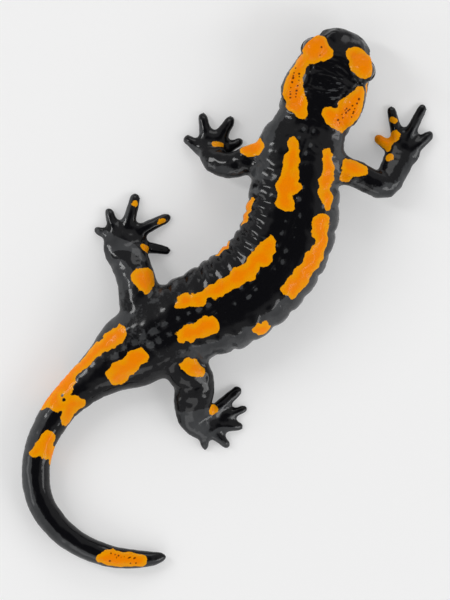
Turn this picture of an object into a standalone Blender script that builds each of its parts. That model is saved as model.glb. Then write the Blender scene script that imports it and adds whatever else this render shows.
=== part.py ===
"""Fire salamander, life size, as a still museum model.

The animal lies on a floor at z = 0 with its head towards +Y, its trunk bent and its
tail curled to +X.  It is modelled whole, flattened where it touches the floor, and
then parted by thin cuts into the pieces that a person would name.
"""

import math

import bmesh
import bpy
from mathutils import Matrix, Vector

# ---------------------------------------------------------------- driving sizes
# Every size is in millimetres, and MM turns it into metres.
MM = 0.001
TOTAL_LENGTH = 199.0        # snout to tail tip, along the middle of the back
CUT_GAP = 0.32              # width of the cuts between two pieces
EYE_GAP = 0.3               # room between an eye and its socket
SINK = 0.25                 # how far the soft underside is pressed flat
FLOOR_SPREAD = 300.0        # width and length of the block that presses it flat
FLOOR_DEPTH = 10.0

SPINE_STEP = 0.5            # stride of the walk along the spine
RING_STRIDE = 2.0           # distance between two rings of the body
RING_SIDES = 28             # corners of a body ring
WIDEST_HEIGHT = 0.46        # share of a ring's height where it is widest
LIMB_RINGS = 14             # rings of one limb
LIMB_SIDES = 16             # corners of a limb ring
LOOK_AROUND = 0.3           # reach to both sides that gives a path's direction
DIGIT_SIDES = 12            # corners of a digit ring
BALL_SIDES = 18             # corners of a ball, round its middle
BALL_RINGS = 12             # bands of a ball, from pole to pole
VOXEL = 0.42                # grain of the merged flesh
SMOOTHING_ROUNDS = 6        # passes that round the merged flesh off
FLESH_TRIANGLES = 5200      # triangles of the merged flesh before it is parted
FLAT_ENOUGH = 2.5           # degrees below which two faces of a piece become one

SNOUT_POINT = (32.5, 70.2)  # place of the snout tip on the floor plan

# Way that the spine runs at a distance from the snout: (distance, heading in degrees).
SPINE_BENDS = (
    (0, -113), (22, -113), (34, -107), (44, -93), (61, -119), (74, -142), (89, -158),
    (104, -148), (121, -143), (139, -118), (151, -92), (164, -54), (179, -21), (199, 14),
)

# Trunk and tail: (distance from the snout, half width, height of the back,
# height of the underside, fullness of the section; 2 is an ellipse).
BODY_STATIONS = (
    (21.0, 9.4, 13.2, 2.4, 2.2),
    (27.0, 9.8, 13.3, 1.4, 2.2),
    (33.0, 11.7, 14.8, 0.3, 2.3),
    (41.0, 11.7, 15.9, -0.1, 2.3),
    (53.0, 12.3, 16.5, -SINK, 2.4),
    (69.0, 12.5, 16.9, -SINK, 2.4),
    (81.0, 12.4, 16.5, -SINK, 2.4),
    (92.0, 11.2, 15.4, -SINK, 2.3),
    (103.0, 10.6, 14.2, -SINK, 2.3),
    (110.0, 9.9, 13.0, -SINK, 2.2),
    (118.0, 6.8, 11.2, -SINK, 2.1),
    (124.0, 5.4, 10.0, -SINK, 2.0),
    (133.0, 4.5, 8.8, -SINK, 2.0),
    (147.0, 3.9, 7.6, -SINK, 2.0),
    (164.0, 3.6, 7.0, -SINK, 2.0),
    (179.0, 3.2, 6.0, -SINK, 2.0),
    (189.0, 2.7, 4.9, -SINK, 2.0),
    (195.0, 2.1, 3.8, -0.1, 2.0),
    (198.0, 1.2, 2.6, 0.5, 2.0),
    (198.9, 0.4, 1.9, 1.1, 2.0),
)

# Skull and jaws, with the same columns as the body.
HEAD_STATIONS = (
    (0.1, 2.4, 8.3, 6.2, 2.0),
    (0.7, 4.2, 9.4, 4.9, 2.1),
    (2.0, 6.2, 10.3, 4.0, 2.2),
    (4.0, 7.9, 11.2, 3.3, 2.3),
    (7.0, 9.1, 12.1, 2.9, 2.4),
    (11.0, 10.0, 12.9, 2.6, 2.4),
    (15.0, 10.7, 13.4, 2.3, 2.4),
    (19.0, 10.8, 13.5, 2.1, 2.3),
    (23.0, 10.1, 13.4, 1.8, 2.2),
    (28.0, 9.6, 13.2, 1.3, 2.2),
)

EYE_RADIUS = 2.6
EYE_PLACE = (8.1, 7.4, 10.4)             # from the snout, from the middle, height
LID_PLACE = (8.0, 6.8, 10.9)
LID_SIZE = (4.1, 3.5, 3.0)               # half length, half width, half height
GLAND_PLACE = (17.4, 8.3, 10.2)          # parotoid gland behind the eye
GLAND_SIZE = (6.6, 3.0, 3.7)
GLAND_TURN = 7.0                         # degrees that its rear end turns outwards
BROW_PLACE = (4.4, 4.6, 9.6)             # ridge from the eye to the nostril
BROW_SIZE = (4.0, 1.8, 1.8)
BROW_TURN = 30.0

MOUTH_HEIGHT = 6.3                       # cut between the jaws
JAW_LENGTH = 13.5                        # snout to the corner of the mouth
JAW_DEPTH = 12.0                         # reach of the cut behind the jaw
JAW_SPREAD = 40.0                        # width of the cuts round the jaw
JAW_LEAD = 2.0                           # reach of the mouth cut past snout and corner

# Limbs.  Each path point is (x, y, z, half width, half height).  A palm is (x, y, half
# length, half width, turn in degrees).  A digit is (root x, root y, tip x, tip y, half
# width at its root).  A cut is (share of the path, radius of the blade).
LIMBS = {
    "arm_left": {
        "names": ("upper_arm_left", "forearm_left", "hand_left"),
        "path": (
            (17.0, 38.6, 8.0, 4.2, 4.4),
            (8.6, 37.6, 7.4, 3.7, 3.6),
            (1.0, 35.1, 6.2, 3.6, 3.0),
            (-4.0, 37.0, 3.9, 3.3, 2.5),
            (-3.8, 40.6, 1.8, 3.6, 1.9),
        ),
        "cuts": ((0.48, 5.2), (0.62, 5.0), (0.84, 5.6)),
        "palm": (-3.8, 40.4, 4.5, 4.4, 12.0),
        "digits": (
            (-0.7, 39.0, 4.4, 42.1, 1.7), (-2.0, 42.0, 1.7, 48.2, 1.9),
            (-5.3, 42.2, -6.5, 49.2, 1.9), (-6.2, 39.0, -11.2, 42.8, 1.9),
        ),
    },
    "arm_right": {
        "names": ("upper_arm_right", "forearm_right", "hand_right"),
        "path": (
            (24.0, 35.6, 8.0, 4.2, 4.4),
            (33.0, 33.2, 7.2, 3.7, 3.5),
            (41.4, 29.5, 6.0, 3.5, 3.0),
            (44.3, 34.4, 3.7, 4.1, 2.4),
            (46.3, 38.8, 1.8, 4.2, 1.9),
        ),
        "cuts": ((0.30, 5.0), (0.64, 5.8), (0.80, 5.2)),
        "palm": (46.7, 38.9, 4.6, 4.4, 0.0),
        "digits": (
            (44.4, 38.9, 39.1, 43.0, 1.8), (45.3, 42.0, 43.2, 50.9, 1.8),
            (47.6, 42.2, 52.2, 51.3, 1.8), (48.9, 39.3, 54.5, 44.0, 1.9),
        ),
    },
    "leg_left": {
        "names": ("thigh_left", "shank_left", "foot_left"),
        "path": (
            (-20.8, -5.4, 7.4, 6.7, 5.4),
            (-22.5, -0.2, 6.8, 6.0, 4.8),
            (-23.6, 4.7, 5.8, 5.2, 4.0),
            (-25.3, 9.6, 4.2, 5.2, 3.2),
            (-26.8, 14.2, 2.4, 6.0, 2.3),
            (-26.5, 17.4, 1.8, 4.6, 1.9),
        ),
        "cuts": ((0.33, 7.0), (0.51, 6.5), (0.68, 6.4)),
        "palm": (-26.5, 16.2, 4.4, 5.8, 8.0),
        "digits": (
            (-22.8, 14.0, -14.6, 12.5, 1.8), (-22.8, 18.0, -14.7, 22.0, 1.9),
            (-26.0, 19.6, -23.8, 27.9, 2.0), (-29.6, 18.0, -31.3, 24.1, 1.8),
            (-30.3, 15.8, -34.9, 18.8, 1.6),
        ),
    },
    "leg_right": {
        "names": ("thigh_right", "shank_right", "foot_right"),
        "path": (
            (-14.4, -12.8, 7.4, 6.6, 5.4),
            (-10.5, -18.2, 6.8, 5.8, 4.7),
            (-8.4, -22.7, 5.6, 5.5, 3.9),
            (-8.9, -27.2, 4.2, 5.2, 3.2),
            (-8.2, -31.2, 2.6, 4.8, 2.4),
            (-5.8, -33.6, 1.8, 4.2, 1.9),
        ),
        "cuts": ((0.36, 6.9), (0.55, 6.5), (0.74, 6.3)),
        "palm": (-6.0, -33.0, 4.6, 4.4, 60.0),
        "digits": (
            (-3.8, -30.2, 3.8, -23.4, 2.0), (-2.8, -32.0, 5.5, -28.6, 1.6),
            (-2.2, -33.5, 4.6, -33.7, 1.7), (-3.6, -34.9, 0.8, -39.2, 1.7),
            (-6.6, -34.8, -5.4, -40.0, 1.5),
        ),
    },
}
PALM_HEIGHT = 1.9
DIGIT_TIP = 0.68            # a digit's tip against its root
DIGIT_ROUND = 1.0           # length of the rounded end of a digit
DIGIT_REST = 0.9            # height of a digit's middle against its half width
DIGIT_TIP_DROP = 0.75       # how low the rounded end's middle sinks
DIGIT_SHARES = (0.0, 0.25, 0.5, 0.75)    # rings along the straight part of a digit
DIGIT_END_TURNS = (30, 55, 75, 86)       # rings over the rounded end, in degrees

# Places of the cuts across the spine, and of the pieces between them.
SPINE_CUTS = (24.6, 31.0, 46.5, 89.5, 119.5, 137.0, 154.0, 171.0, 187.0)
BLADE_SIDES = 32            # corners of a blade
BLADE_SPARE = 1.4           # a blade's radius against the half width that it cuts
PIECE_HEIGHT = 7.0          # height at which the middle of such a piece is sought
SPINE_PIECES = (
    ("head", 16.0), ("neck", 28.0), ("chest", 38.0), ("trunk", 68.0), ("hips", 104.0),
    ("tail_base", 128.0), ("tail_front", 145.0), ("tail_middle", 162.0),
    ("tail_rear", 179.0), ("tail_tip", 193.0),
)

# ---------------------------------------------------------------- colours
BLACK_SKIN = ((0.012, 0.012, 0.014, 1.0), 0.28)
EYE_COLOUR = ((0.008, 0.006, 0.005, 1.0), 0.05)


# ---------------------------------------------------------------- small tools
def glide(stations, place, column):
    """Read a column of a station table on a smooth curve that never overshoots."""
    if place <= stations[0][0]:
        return stations[0][column]
    if place >= stations[-1][0]:
        return stations[-1][column]
    index = max(i for i, station in enumerate(stations) if station[0] <= place)
    index = min(index, len(stations) - 2)

    def rise(i):
        run = stations[i + 1][0] - stations[i][0]
        return (stations[i + 1][column] - stations[i][column]) / run

    def slope(i):
        if i == 0:
            return rise(0)
        if i == len(stations) - 1:
            return rise(i - 1)
        before = rise(i - 1)
        after = rise(i)
        if before * after <= 0:
            return 0.0
        return 2 * before * after / (before + after)

    run = stations[index + 1][0] - stations[index][0]
    t = (place - stations[index][0]) / run
    low = stations[index][column]
    high = stations[index + 1][column]
    return (
        low * (1 + 2 * t) * (1 - t) ** 2
        + high * t * t * (3 - 2 * t)
        + run * slope(index) * t * (1 - t) ** 2
        + run * slope(index + 1) * t * t * (t - 1)
    )


def walk_spine():
    """Walk from the snout to the tail tip and note place and heading at each step."""
    x, y = SNOUT_POINT
    steps = []
    for number in range(int(TOTAL_LENGTH / SPINE_STEP) + 1):
        place = number * SPINE_STEP
        heading = math.radians(glide(SPINE_BENDS, place, 1))
        steps.append((x, y, heading))
        x += math.cos(heading) * SPINE_STEP
        y += math.sin(heading) * SPINE_STEP
    return steps


SPINE = walk_spine()


def spine_frame(place):
    """Give the floor point, the way back and the way to the animal's left."""
    share = min(max(place / SPINE_STEP, 0.0), len(SPINE) - 1.001)
    index = int(share)
    near = SPINE[index]
    far = SPINE[index + 1]
    part = share - index
    x, y, heading = (near[i] + (far[i] - near[i]) * part for i in range(3))
    back = Vector((math.cos(heading), math.sin(heading), 0.0))
    left = Vector((back.y, -back.x, 0.0))
    return Vector((x, y, 0.0)), back, left


def on_body(along, across, height):
    """Turn a place given from the snout, to the left and upwards into a point."""
    point, _, left = spine_frame(along)
    return point + left * across + Vector((0.0, 0.0, height))


def bulge(value, fullness):
    """Give the superellipse share of a sine or cosine."""
    return math.copysign(abs(value) ** (2.0 / fullness), value)


# ---------------------------------------------------------------- solid makers
def add_ring(bm, sides, centre, across, up, sizes):
    """Add one closed section, wide by half width and as high as its two halves."""
    half_width, above, below, fullness = sizes
    made = bmesh.ops.create_circle(bm, cap_ends=False, radius=1.0, segments=sides)
    for vert in made["verts"]:
        sideways = bulge(vert.co.x, fullness)
        upwards = bulge(vert.co.y, fullness)
        rise = upwards * (above if upwards > 0 else below)
        vert.co = (centre + across * sideways * half_width + up * rise) * MM
    return list({edge for vert in made["verts"] for edge in vert.link_edges})


def loft(bm, sides, sections):
    """Bridge a row of sections into one closed form."""
    rings = [add_ring(bm, sides, *section) for section in sections]
    for ring, following in zip(rings, rings[1:]):
        bmesh.ops.bridge_loops(bm, edges=ring + following)
    for end in (rings[0], rings[-1]):
        bmesh.ops.contextual_create(bm, geom=end)


def spine_loft(bm, stations):
    """Loft a stretch of the body over its station table."""
    start = stations[0][0]
    end = stations[-1][0]
    count = max(2, round((end - start) / RING_STRIDE))
    places = {start + (end - start) * i / count for i in range(count + 1)}
    places.update(station[0] for station in stations)
    sections = []
    for place in sorted(places):
        half_width, top, bottom, fullness = (glide(stations, place, c) for c in (1, 2, 3, 4))
        middle = bottom + (top - bottom) * WIDEST_HEIGHT
        point, _, left = spine_frame(place)
        centre = point + Vector((0.0, 0.0, middle))
        sizes = (half_width, top - middle, middle - bottom, fullness)
        sections.append((centre, left, Vector((0.0, 0.0, 1.0)), sizes))
    loft(bm, RING_SIDES, sections)


def path_table(points):
    """Put the length of the path so far in front of each path point."""
    table = [(0.0, *points[0])]
    for before, after in zip(points, points[1:]):
        reach = (Vector(after[:3]) - Vector(before[:3])).length
        table.append((table[-1][0] + reach, *after))
    return table


def path_frame(table, share):
    """Give the centre, the way onwards, sideways and up, and the sizes on a path."""
    length = table[-1][0]
    place = share * length
    centre = Vector([glide(table, place, column) for column in (1, 2, 3)])
    before = Vector([glide(table, max(place - LOOK_AROUND, 0.0), c) for c in (1, 2, 3)])
    after = Vector([glide(table, min(place + LOOK_AROUND, length), c) for c in (1, 2, 3)])
    onward = (after - before).normalized()
    sideways = onward.cross(Vector((0.0, 0.0, 1.0))).normalized()
    up = sideways.cross(onward).normalized()
    half_width = glide(table, place, 4)
    half_height = glide(table, place, 5)
    return centre, onward, sideways, up, half_width, half_height


def path_loft(bm, points):
    """Loft a limb along its path, through its joints."""
    table = path_table(points)
    sections = []
    for number in range(LIMB_RINGS + 1):
        frame = path_frame(table, number / LIMB_RINGS)
        centre, _, sideways, up, half_width, half_height = frame
        sections.append((centre, sideways, up, (half_width, half_height, half_height, 2.0)))
    loft(bm, LIMB_SIDES, sections)


def add_ball(bm, centre, sizes, turn=0.0):
    """Add an ellipsoid whose length lies along the heading turn, in radians."""
    placing = Matrix.Translation(centre * MM) @ Matrix.Rotation(turn, 4, "Z")
    scaling = Matrix.Diagonal((*(size * MM for size in sizes), 1.0))
    bmesh.ops.create_uvsphere(
        bm, u_segments=BALL_SIDES, v_segments=BALL_RINGS, radius=1.0, matrix=placing @ scaling
    )


def add_digit(bm, start, tip, root_width):
    """Add a tapered digit that lies on the floor, with a rounded end."""
    flat_start = Vector((start[0], start[1], 0.0))
    reach = Vector((tip[0], tip[1], 0.0)) - flat_start
    length = reach.length
    onward = reach.normalized()
    sideways = onward.cross(Vector((0.0, 0.0, 1.0)))
    tip_width = root_width * DIGIT_TIP
    sections = []
    for share in (*DIGIT_SHARES, 1.0 - DIGIT_ROUND / length):
        width = root_width + (tip_width - root_width) * share
        sections.append((share * length, width))
    for angle in DIGIT_END_TURNS:
        turn = math.radians(angle)
        place = length - DIGIT_ROUND * (1 - math.sin(turn))
        sections.append((place, tip_width * math.cos(turn)))
    rings = []
    for place, width in sections:
        rest = max(width, tip_width * DIGIT_TIP_DROP)
        centre = flat_start + onward * place + Vector((0.0, 0.0, rest * DIGIT_REST - SINK))
        rings.append((centre, sideways, Vector((0.0, 0.0, 1.0)), (width, width, width, 2.0)))
    loft(bm, DIGIT_SIDES, rings)


def new_object(name, bm, collection, material=None):
    """Make a named object from a bmesh and put it in a collection."""
    bmesh.ops.recalc_face_normals(bm, faces=bm.faces)
    mesh = bpy.data.meshes.new(name)
    bm.to_mesh(mesh)
    bm.free()
    thing = bpy.data.objects.new(name, mesh)
    collection.objects.link(thing)
    if material:
        mesh.materials.append(material)
    return thing


def new_material(name, colour, roughness):
    """Make a Principled material."""
    material = bpy.data.materials.new(name)
    material.use_nodes = True
    shader = material.node_tree.nodes["Principled BSDF"]
    shader.inputs["Base Color"].default_value = colour
    shader.inputs["Roughness"].default_value = roughness
    shader.inputs["Metallic"].default_value = 0.0
    return material


def settle(thing):
    """Turn an object's modifiers into its mesh."""
    bpy.context.view_layer.update()
    graph = bpy.context.evaluated_depsgraph_get()
    mesh = bpy.data.meshes.new_from_object(thing.evaluated_get(graph))
    thing.modifiers.clear()
    thing.data = mesh


# ---------------------------------------------------------------- the animal
def add_head(bm):
    """Add the skull with its brows, lids and parotoid glands."""
    spine_loft(bm, HEAD_STATIONS)
    for side in (1, -1):
        for place, size, turn in (
            (LID_PLACE, LID_SIZE, 0.0),
            (GLAND_PLACE, GLAND_SIZE, GLAND_TURN),
            (BROW_PLACE, BROW_SIZE, BROW_TURN),
        ):
            along, across, height = place
            _, back, _ = spine_frame(along)
            heading = math.atan2(back.y, back.x) - side * math.radians(turn)
            add_ball(bm, on_body(along, across * side, height), size, heading)


def add_limb(bm, limb):
    """Add one limb with its palm and digits."""
    path_loft(bm, limb["path"])
    x, y, half_length, half_width, turn = limb["palm"]
    size = (half_width, half_length, PALM_HEIGHT)
    add_ball(bm, Vector((x, y, PALM_HEIGHT - SINK)), size, math.radians(turn))
    for root_x, root_y, tip_x, tip_y, width in limb["digits"]:
        add_digit(bm, (root_x, root_y), (tip_x, tip_y), width)


def merge_flesh(collection):
    """Model the animal whole and grow its forms into one skin."""
    bm = bmesh.new()
    add_head(bm)
    spine_loft(bm, BODY_STATIONS)
    for limb in LIMBS.values():
        add_limb(bm, limb)
    flesh = new_object("flesh", bm, collection)
    remesh = flesh.modifiers.new("merge", "REMESH")
    remesh.mode = "VOXEL"
    remesh.voxel_size = VOXEL * MM
    smooth = flesh.modifiers.new("round off", "SMOOTH")
    smooth.iterations = SMOOTHING_ROUNDS
    settle(flesh)
    flesh.data.calc_loop_triangles()
    thin = flesh.modifiers.new("thin out", "DECIMATE")
    thin.ratio = FLESH_TRIANGLES / len(flesh.data.loop_triangles)
    settle(flesh)
    return flesh


def blade(bm, centre, normal, radius):
    """Add a thin round blade that faces along the normal."""
    turn = normal.to_track_quat("Z", "Y").to_matrix().to_4x4()
    bmesh.ops.create_cone(
        bm, cap_ends=True, segments=BLADE_SIDES, radius1=radius * MM, radius2=radius * MM,
        depth=CUT_GAP * MM, matrix=Matrix.Translation(centre * MM) @ turn,
    )


def add_box(bm, centre, size, heading):
    """Add a box whose length lies along a heading."""
    placing = Matrix.Translation(centre * MM) @ Matrix.Rotation(heading, 4, "Z")
    scaling = Matrix.Diagonal((*(side * MM for side in size), 1.0))
    bmesh.ops.create_cube(bm, size=1.0, matrix=placing @ scaling)


def make_cutters(collection):
    """Make the floor, the sockets and every blade, each as a cutter of its own."""

    def keep(name, bm):
        cutter = new_object(name, bm, collection)
        cutter.hide_render = True
        cutter.display_type = "WIRE"

    bm = bmesh.new()
    spread = (FLOOR_SPREAD, FLOOR_SPREAD, FLOOR_DEPTH)
    add_box(bm, Vector((0.0, 0.0, -FLOOR_DEPTH / 2)), spread, 0.0)
    keep("cut_floor", bm)

    for place in SPINE_CUTS:
        bm = bmesh.new()
        point, back, _ = spine_frame(place)
        half_width, top, bottom = (glide(BODY_STATIONS, place, c) for c in (1, 2, 3))
        middle = Vector((0.0, 0.0, (top + bottom) / 2))
        blade(bm, point + middle, back, half_width * BLADE_SPARE)
        keep(f"cut_spine_{place:.0f}", bm)

    for name, limb in LIMBS.items():
        table = path_table(limb["path"])
        for share, radius in limb["cuts"]:
            bm = bmesh.new()
            centre, onward = path_frame(table, share)[:2]
            blade(bm, centre, onward, radius)
            keep(f"cut_{name}_{share * 100:.0f}", bm)

    for side, word in ((1, "left"), (-1, "right")):
        bm = bmesh.new()
        along, across, height = EYE_PLACE
        radius = EYE_RADIUS + EYE_GAP
        add_ball(bm, on_body(along, across * side, height), (radius, radius, radius))
        keep(f"cut_socket_{word}", bm)

    bm = bmesh.new()
    _, back, _ = spine_frame(0.0)
    heading = math.atan2(back.y, back.x)
    reach = JAW_LENGTH + JAW_LEAD
    add_box(
        bm, on_body(0.0, 0.0, MOUTH_HEIGHT) + back * (reach / 2 - JAW_LEAD),
        (reach, JAW_SPREAD, CUT_GAP), heading,
    )
    keep("cut_mouth", bm)
    bm = bmesh.new()
    add_box(
        bm, on_body(0.0, 0.0, MOUTH_HEIGHT - JAW_DEPTH / 2 + CUT_GAP / 2) + back * JAW_LENGTH,
        (CUT_GAP, JAW_SPREAD, JAW_DEPTH), heading,
    )
    keep("cut_jaw", bm)


def part_flesh(flesh, cutters):
    """Take all the cutters out of the flesh in one go."""
    cut = flesh.modifiers.new("part", "BOOLEAN")
    cut.operation = "DIFFERENCE"
    cut.solver = "EXACT"
    cut.operand_type = "COLLECTION"
    cut.collection = cutters
    settle(flesh)


def loose_pieces(mesh):
    """Give the sets of vertex numbers that hang together."""
    bm = bmesh.new()
    bm.from_mesh(mesh)
    seen = set()
    pieces = []
    for start in bm.verts:
        if start.index in seen:
            continue
        seen.add(start.index)
        piece = {start.index}
        waiting = [start]
        while waiting:
            vert = waiting.pop()
            for link in vert.link_edges:
                other = link.other_vert(vert)
                if other.index not in seen:
                    seen.add(other.index)
                    piece.add(other.index)
                    waiting.append(other)
        pieces.append(piece)
    bm.free()
    return pieces


def piece_places():
    """Give a point near the middle of each piece."""
    places = {name: on_body(along, 0.0, PIECE_HEIGHT) for name, along in SPINE_PIECES}
    places["lower_jaw"] = on_body(JAW_LENGTH / 2, 0.0, MOUTH_HEIGHT / 2)
    for limb in LIMBS.values():
        table = path_table(limb["path"])
        first, second, third = (share for share, _ in limb["cuts"])
        upper, lower, end = limb["names"]
        places[upper] = path_frame(table, (first + second) / 2)[0]
        places[lower] = path_frame(table, (second + third) / 2)[0]
        x, y = limb["palm"][:2]
        places[end] = Vector((x, y, PALM_HEIGHT))
    return places


def name_pieces(flesh, collection, material):
    """Make each loose piece of the flesh an object with its own name."""
    pieces = loose_pieces(flesh.data)
    places = piece_places()
    if len(pieces) != len(places):
        raise ValueError(f"{len(pieces)} pieces were cut, {len(places)} are named")
    verts = flesh.data.vertices
    middles = []
    for piece in pieces:
        total = sum((verts[i].co for i in piece), Vector())
        middles.append(total / len(piece) / MM)
    for name, place in places.items():
        nearest = min(range(len(pieces)), key=lambda i: (middles[i] - place).length)
        bm = bmesh.new()
        bm.from_mesh(flesh.data)
        bm.verts.ensure_lookup_table()
        others = [vert for vert in bm.verts if vert.index not in pieces[nearest]]
        bmesh.ops.delete(bm, geom=others, context="VERTS")
        bmesh.ops.dissolve_limit(
            bm, angle_limit=math.radians(FLAT_ENOUGH), verts=bm.verts, edges=bm.edges
        )
        bmesh.ops.triangulate(bm, faces=bm.faces)
        new_object(name, bm, collection, material)


def add_eyes(collection, material):
    """Add the two eyeballs, a little clear of their sockets."""
    for side, word in ((1, "left"), (-1, "right")):
        along, across, height = EYE_PLACE
        bm = bmesh.new()
        size = (EYE_RADIUS, EYE_RADIUS, EYE_RADIUS)
        add_ball(bm, on_body(along, across * side, height), size)
        eye = new_object(f"eye_{word}", bm, collection, material)
        eye.data.shade_smooth()


def main():
    """Build the salamander."""
    for thing in list(bpy.data.objects):
        bpy.data.objects.remove(thing, do_unlink=True)
    scene = bpy.context.scene
    animal = bpy.data.collections.new("fire_salamander")
    guides = bpy.data.collections.new("cutters")
    scene.collection.children.link(animal)
    scene.collection.children.link(guides)
    black = new_material("black skin", *BLACK_SKIN)
    eye_black = new_material("eye", *EYE_COLOUR)
    flesh = merge_flesh(animal)
    make_cutters(guides)
    part_flesh(flesh, guides)
    name_pieces(flesh, animal, black)
    bpy.data.objects.remove(flesh, do_unlink=True)
    add_eyes(animal, eye_black)


if __name__ == "__main__":
    main()
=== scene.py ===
"""Fire salamander, life size: its wet skin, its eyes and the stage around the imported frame.

One skin takes the place of every node of flesh, and two eyes take the place of the eye nodes.
Lengths are in millimetres while a surface is shaped, and in metres in the finished meshes.
"""

import math

import bmesh
import bpy
import numpy as np
from mathutils import Matrix, Vector, noise
from mathutils.bvhtree import BVHTree


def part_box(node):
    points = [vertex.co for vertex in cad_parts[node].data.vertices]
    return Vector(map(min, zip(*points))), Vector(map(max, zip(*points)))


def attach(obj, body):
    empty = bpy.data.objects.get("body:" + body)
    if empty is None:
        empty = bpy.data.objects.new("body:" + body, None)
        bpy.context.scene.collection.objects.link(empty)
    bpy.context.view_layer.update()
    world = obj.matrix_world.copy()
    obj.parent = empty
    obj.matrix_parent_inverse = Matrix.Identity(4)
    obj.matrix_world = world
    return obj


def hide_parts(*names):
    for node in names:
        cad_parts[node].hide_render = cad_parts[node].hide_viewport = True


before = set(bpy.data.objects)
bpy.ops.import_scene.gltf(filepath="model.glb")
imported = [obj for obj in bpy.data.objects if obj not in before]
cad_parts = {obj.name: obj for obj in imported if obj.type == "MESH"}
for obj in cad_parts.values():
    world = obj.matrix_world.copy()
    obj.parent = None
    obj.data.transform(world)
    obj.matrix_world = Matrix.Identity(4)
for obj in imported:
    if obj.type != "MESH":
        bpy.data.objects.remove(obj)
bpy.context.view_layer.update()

bl_info = {
    "name": "Fire Salamander",
    "version": (1, 0, 0),
    "blender": (4, 5, 0),
    "location": "View3D > Sidebar > Salamander",
    "description": "Skin, eyes and stage of a life-size fire salamander",
    "category": "Add Mesh",
}

MM = 0.001
EYE_NODES = ("eye_left", "eye_right")
FLESH_NODES = tuple(sorted(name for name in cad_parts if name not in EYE_NODES))
SIDES = (1, -1)                   # left and right of the spine
DOWN = Vector((0.0, 0.0, -1.0))
ABOVE_ALL = Vector((0.0, 0.0, 60.0))

# ---------------------------------------------------------------- the body's own measures
# The spine, as in the solids: where the snout is, and (distance from it, heading in degrees).
SNOUT_POINT = (32.5, 70.2)
SPINE_LENGTH = 199.0
SPINE_STEP = 0.5
SPINE_BENDS = (
    (0, -113), (22, -113), (34, -107), (44, -93), (61, -119), (74, -142), (89, -158),
    (104, -148), (121, -143), (139, -118), (151, -92), (164, -54), (179, -21), (199, 14),
)
# Half width of head, trunk and tail: (distance from the snout, half width).
HALF_WIDTHS = (
    (0, 2.4), (2, 6.2), (4, 7.9), (7, 9.1), (11, 10.0), (15, 10.7), (19, 10.8), (23, 10.1),
    (27, 9.8), (33, 11.7), (53, 12.3), (69, 12.5), (81, 12.4), (92, 11.2), (103, 10.6),
    (110, 9.9), (118, 6.8), (124, 5.4), (133, 4.5), (147, 3.9), (164, 3.6), (179, 3.2),
    (189, 2.7), (195, 2.1), (199, 0.6),
)
# Height of the back above the floor.
BACK_HEIGHTS = (
    (0, 8.0), (4, 11.2), (11, 12.9), (19, 13.5), (28, 13.2), (33, 14.8), (41, 15.9),
    (53, 16.5), (69, 16.9), (81, 16.5), (92, 15.4), (103, 14.2), (110, 13.0), (118, 11.2),
    (133, 8.8), (164, 7.0), (189, 4.9), (199, 1.8),
)
PALMS = {
    "hand_left": (-3.8, 40.4), "hand_right": (46.7, 38.9),
    "foot_left": (-26.5, 16.2), "foot_right": (-6.0, -33.0),
}

FIRST_GROOVE = 39.5               # grooves of the flanks, from the snout
LAST_GROOVE = 94.0
GROOVE_STRIDE = (LAST_GROOVE - FIRST_GROOVE) / 12
SPINE_GLAND_STRIDE = 3.15         # from one gland of the back to the next
HEAD_LENGTH = 26.0                # the part of the head that has finer faces, and its half width
HEAD_REACH = 13.0
SOLE_DEPTH = 0.07                 # skin this low lies flat on the floor
PORE_DEPTH = 0.16                 # dark pores of the glands
PORE_WIDTH = 0.26

EYE_PLACE = (8.1, 7.4, 10.4)      # from the snout, from the middle, height
EYE_RADIUS = 2.6
EYE_ROOM = (3.4, 4.6)             # nearer to the eye's centre the skin has no relief
LID_REACH = 6.5                   # nearer to it the skin is drawn in to the lids
CORNEA_ANGLE = 32.0               # half width of the cornea, in degrees of the ball
GLAND_PLACE = (17.4, 8.3)         # parotoid gland: from the snout, from the middle
GLAND_SIZE = (6.6, 3.0)
MOUTH_CORNER = 13.2               # snout to the corner of the mouth
MOUTH_LINE = ((0, 6.4), (5, 6.2), (10, 6.1), (13.5, 6.7))
NOSTRIL_PLACE = (1.3, 3.0, 8.5)   # from the snout, from the middle, height

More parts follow.
